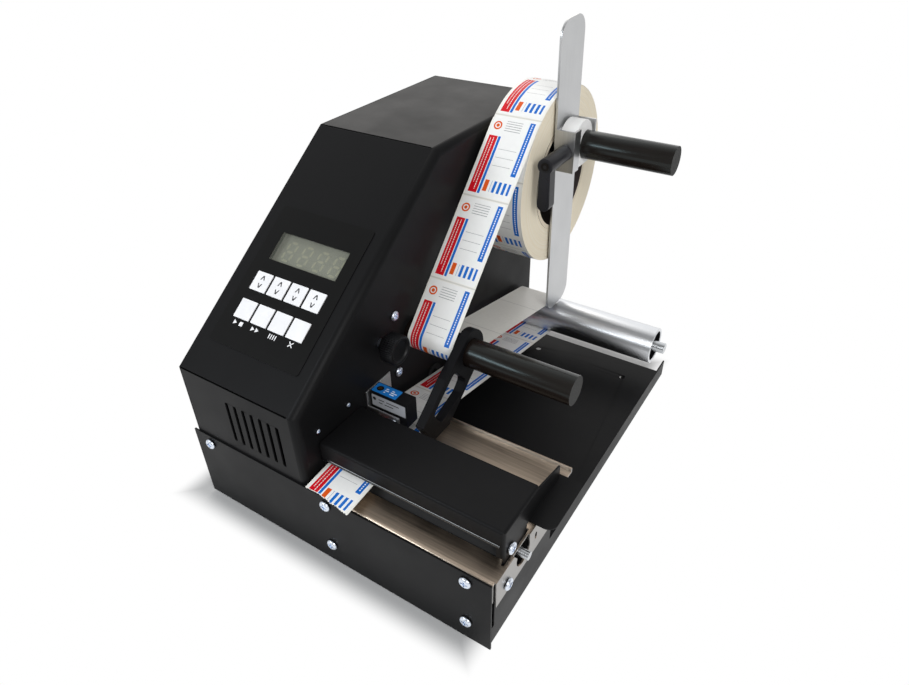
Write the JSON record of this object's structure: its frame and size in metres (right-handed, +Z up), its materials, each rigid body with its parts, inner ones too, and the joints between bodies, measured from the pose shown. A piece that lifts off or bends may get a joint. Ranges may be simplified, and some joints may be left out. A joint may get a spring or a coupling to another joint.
{
  "type": "label counter",
  "caption": "Bench label counter: black sheet-metal housing with keypad, a hanging label roll, guide post, fork sensor and a driven feed nip that pulls the web through.",
  "frame": {"origin": "middle of the underside of the overall box, on the table plane", "axes": "+Z up; -Y the front, where labels come out; +X the side with the roll and the rollers"},
  "size_m": [0.318, 0.4242, 0.3712],
  "materials": {
    "black_paint": "satin powder coat",
    "gloss_black": "gloss black lacquer",
    "stainless": "brushed",
    "zinc": "bright zinc plate",
    "machined_steel": "turned",
    "aluminium": "satin",
    "rubber": "matte",
    "black_plastic": "moulded",
    "overlay_film": "printed film",
    "key_white": "moulded",
    "window_clear": "clear acrylic",
    "display_grey": "moulded",
    "board_green": "solder mask",
    "paper_label": "printed label stock",
    "paper_roll": "wound label stock",
    "cardboard": "wound board",
    "nylon": "turned nylon"
  },
  "bodies": {
    "frame": {"base_pan": "black_paint", "front_plate": "black_paint", "plate_screws": "zinc", "rubber_feet": "rubber", "housing_shell": "black_paint", "left_panel": "black_paint", "wall_screws": "zinc", "panel_overlay": "overlay_film", "display_window": "window_clear", "display_module": "display_grey", "control_board": "board_green", "board_standoffs": "aluminium", "key_switches": "black_plastic", "power_jack": "black_plastic", "switch_frame": "black_plastic", "cable_grommet": "rubber", "drive_motor": "black_paint", "motor_bracket": "stainless", "drive_belt": "rubber", "feed_deck": "stainless", "rear_shelf": "stainless", "feed_bearings": "machined_steel", "cover_pivots": "zinc", "sensor_body": "black_plastic", "sensor_bracket": "stainless", "sensor_screws": "zinc", "sensor_stud": "machined_steel", "guide_post": "gloss_black", "rear_axle": "machined_steel", "supply_spindle": "gloss_black", "bar_screws": "zinc", "label_web": "paper_label"},
    "feed_drive": {"feed_roller": "rubber", "feed_shaft": "machined_steel", "feed_pulley": "aluminium"},
    "motor_rotor": {"motor_shaft": "machined_steel", "motor_pulley": "aluminium"},
    "cover": {"pressure_cover": "black_paint", "pressure_shaft": "machined_steel"},
    "press_roller": {"pressure_roller": "rubber"},
    "rear_idler": {"rear_roller": "aluminium", "roller_caps": "black_plastic"},
    "supply_roll": {"label_roll": "paper_roll", "roll_core": "cardboard"},
    "roll_guide": {"roll_guide_strip": "stainless", "clamp_bracket": "stainless", "guide_bush": "nylon"},
    "lever": {"clamp_lever": "black_plastic", "lever_screw": "zinc"},
    "web_guide": {"edge_guide": "black_paint"},
    "knob": {"sensor_knob": "black_plastic"},
    "rocker": {"power_rocker": "black_plastic"},
    "digit_key_1_cap": {"digit_key_1": "key_white"},
    "digit_key_2_cap": {"digit_key_2": "key_white"},
    "digit_key_3_cap": {"digit_key_3": "key_white"},
    "digit_key_4_cap": {"digit_key_4": "key_white"},
    "function_key_1_cap": {"function_key_1": "key_white"},
    "function_key_2_cap": {"function_key_2": "key_white"},
    "function_key_3_cap": {"function_key_3": "key_white"},
    "function_key_4_cap": {"function_key_4": "key_white"}
  },
  "joints": [
    {"name": "supply_roll_spin", "type": "hinge", "parent": "frame", "child": "supply_roll", "pos_m": [-0.001, 0.1294, 0.22945], "axis": [1, 0, 0], "continuous": true},
    {"name": "feed_spin", "type": "hinge", "parent": "frame", "child": "feed_drive", "pos_m": [0.055, -0.1596, 0.068], "axis": [1, 0, 0], "continuous": true},
    {"name": "motor_spin", "type": "hinge", "parent": "frame", "child": "motor_rotor", "pos_m": [-0.059, -0.0816, 0.068], "axis": [1, 0, 0], "continuous": true},
    {"name": "cover_lift", "type": "hinge", "parent": "frame", "child": "cover", "pos_m": [0.055, -0.1736, 0.0875], "axis": [1, 0, 0], "range_deg": [0, 25]},
    {"name": "press_spin", "type": "hinge", "parent": "cover", "child": "press_roller", "pos_m": [0.055, -0.1596, 0.1002], "axis": [1, 0, 0], "continuous": true},
    {"name": "rear_idler_spin", "type": "hinge", "parent": "frame", "child": "rear_idler", "pos_m": [0.056, 0.1382, 0.0662], "axis": [1, 0, 0], "continuous": true},
    {"name": "roll_guide_slide", "type": "slide", "parent": "frame", "child": "roll_guide", "axis": [1, 0, 0], "range_m": [0, 0.075]},
    {"name": "lever_turn", "type": "hinge", "parent": "roll_guide", "child": "lever", "pos_m": [0.036, 0.0814, 0.264], "axis": [0, -1, 0], "range_deg": [0, 90]},
    {"name": "web_guide_slide", "type": "slide", "parent": "frame", "child": "web_guide", "axis": [1, 0, 0], "range_m": [0, 0.09]},
    {"name": "knob_turn", "type": "hinge", "parent": "frame", "child": "knob", "pos_m": [-0.013, -0.0986, 0.155], "axis": [1, 0, 0], "range_deg": [-180, 180]},
    {"name": "rocker_tip", "type": "hinge", "parent": "frame", "child": "rocker", "pos_m": [-0.115, 0.1734, 0.062], "axis": [1, 0, 0], "range_deg": [-20, 0]},
    {"name": "digit_key_1_press", "type": "slide", "parent": "frame", "child": "digit_key_1_cap", "axis": [0, 0.5777, -0.8163], "range_m": [0, 0.0006], "stiffness_N_per_m": 400, "springref_m": -0.001},
    {"name": "digit_key_2_press", "type": "slide", "parent": "frame", "child": "digit_key_2_cap", "axis": [0, 0.5777, -0.8163], "range_m": [0, 0.0006], "stiffness_N_per_m": 400, "springref_m": -0.001},
    {"name": "digit_key_3_press", "type": "slide", "parent": "frame", "child": "digit_key_3_cap", "axis": [0, 0.5777, -0.8163], "range_m": [0, 0.0006], "stiffness_N_per_m": 400, "springref_m": -0.001},
    {"name": "digit_key_4_press", "type": "slide", "parent": "frame", "child": "digit_key_4_cap", "axis": [0, 0.5777, -0.8163], "range_m": [0, 0.0006], "stiffness_N_per_m": 400, "springref_m": -0.001},
    {"name": "function_key_1_press", "type": "slide", "parent": "frame", "child": "function_key_1_cap", "axis": [0, 0.5777, -0.8163], "range_m": [0, 0.0006], "stiffness_N_per_m": 400, "springref_m": -0.001},
    {"name": "function_key_2_press", "type": "slide", "parent": "frame", "child": "function_key_2_cap", "axis": [0, 0.5777, -0.8163], "range_m": [0, 0.0006], "stiffness_N_per_m": 400, "springref_m": -0.001},
    {"name": "function_key_3_press", "type": "slide", "parent": "frame", "child": "function_key_3_cap", "axis": [0, 0.5777, -0.8163], "range_m": [0, 0.0006], "stiffness_N_per_m": 400, "springref_m": -0.001},
    {"name": "function_key_4_press", "type": "slide", "parent": "frame", "child": "function_key_4_cap", "axis": [0, 0.5777, -0.8163], "range_m": [0, 0.0006], "stiffness_N_per_m": 400, "springref_m": -0.001}
  ],
  "couplings": [
    {"joint": "feed_spin", "follows": "supply_roll_spin", "ratio": 3.7591},
    {"joint": "press_spin", "follows": "supply_roll_spin", "ratio": -9.1889},
    {"joint": "rear_idler_spin", "follows": "supply_roll_spin", "ratio": -4.4462},
    {"joint": "motor_spin", "follows": "supply_roll_spin", "ratio": 7.5182}
  ]
}
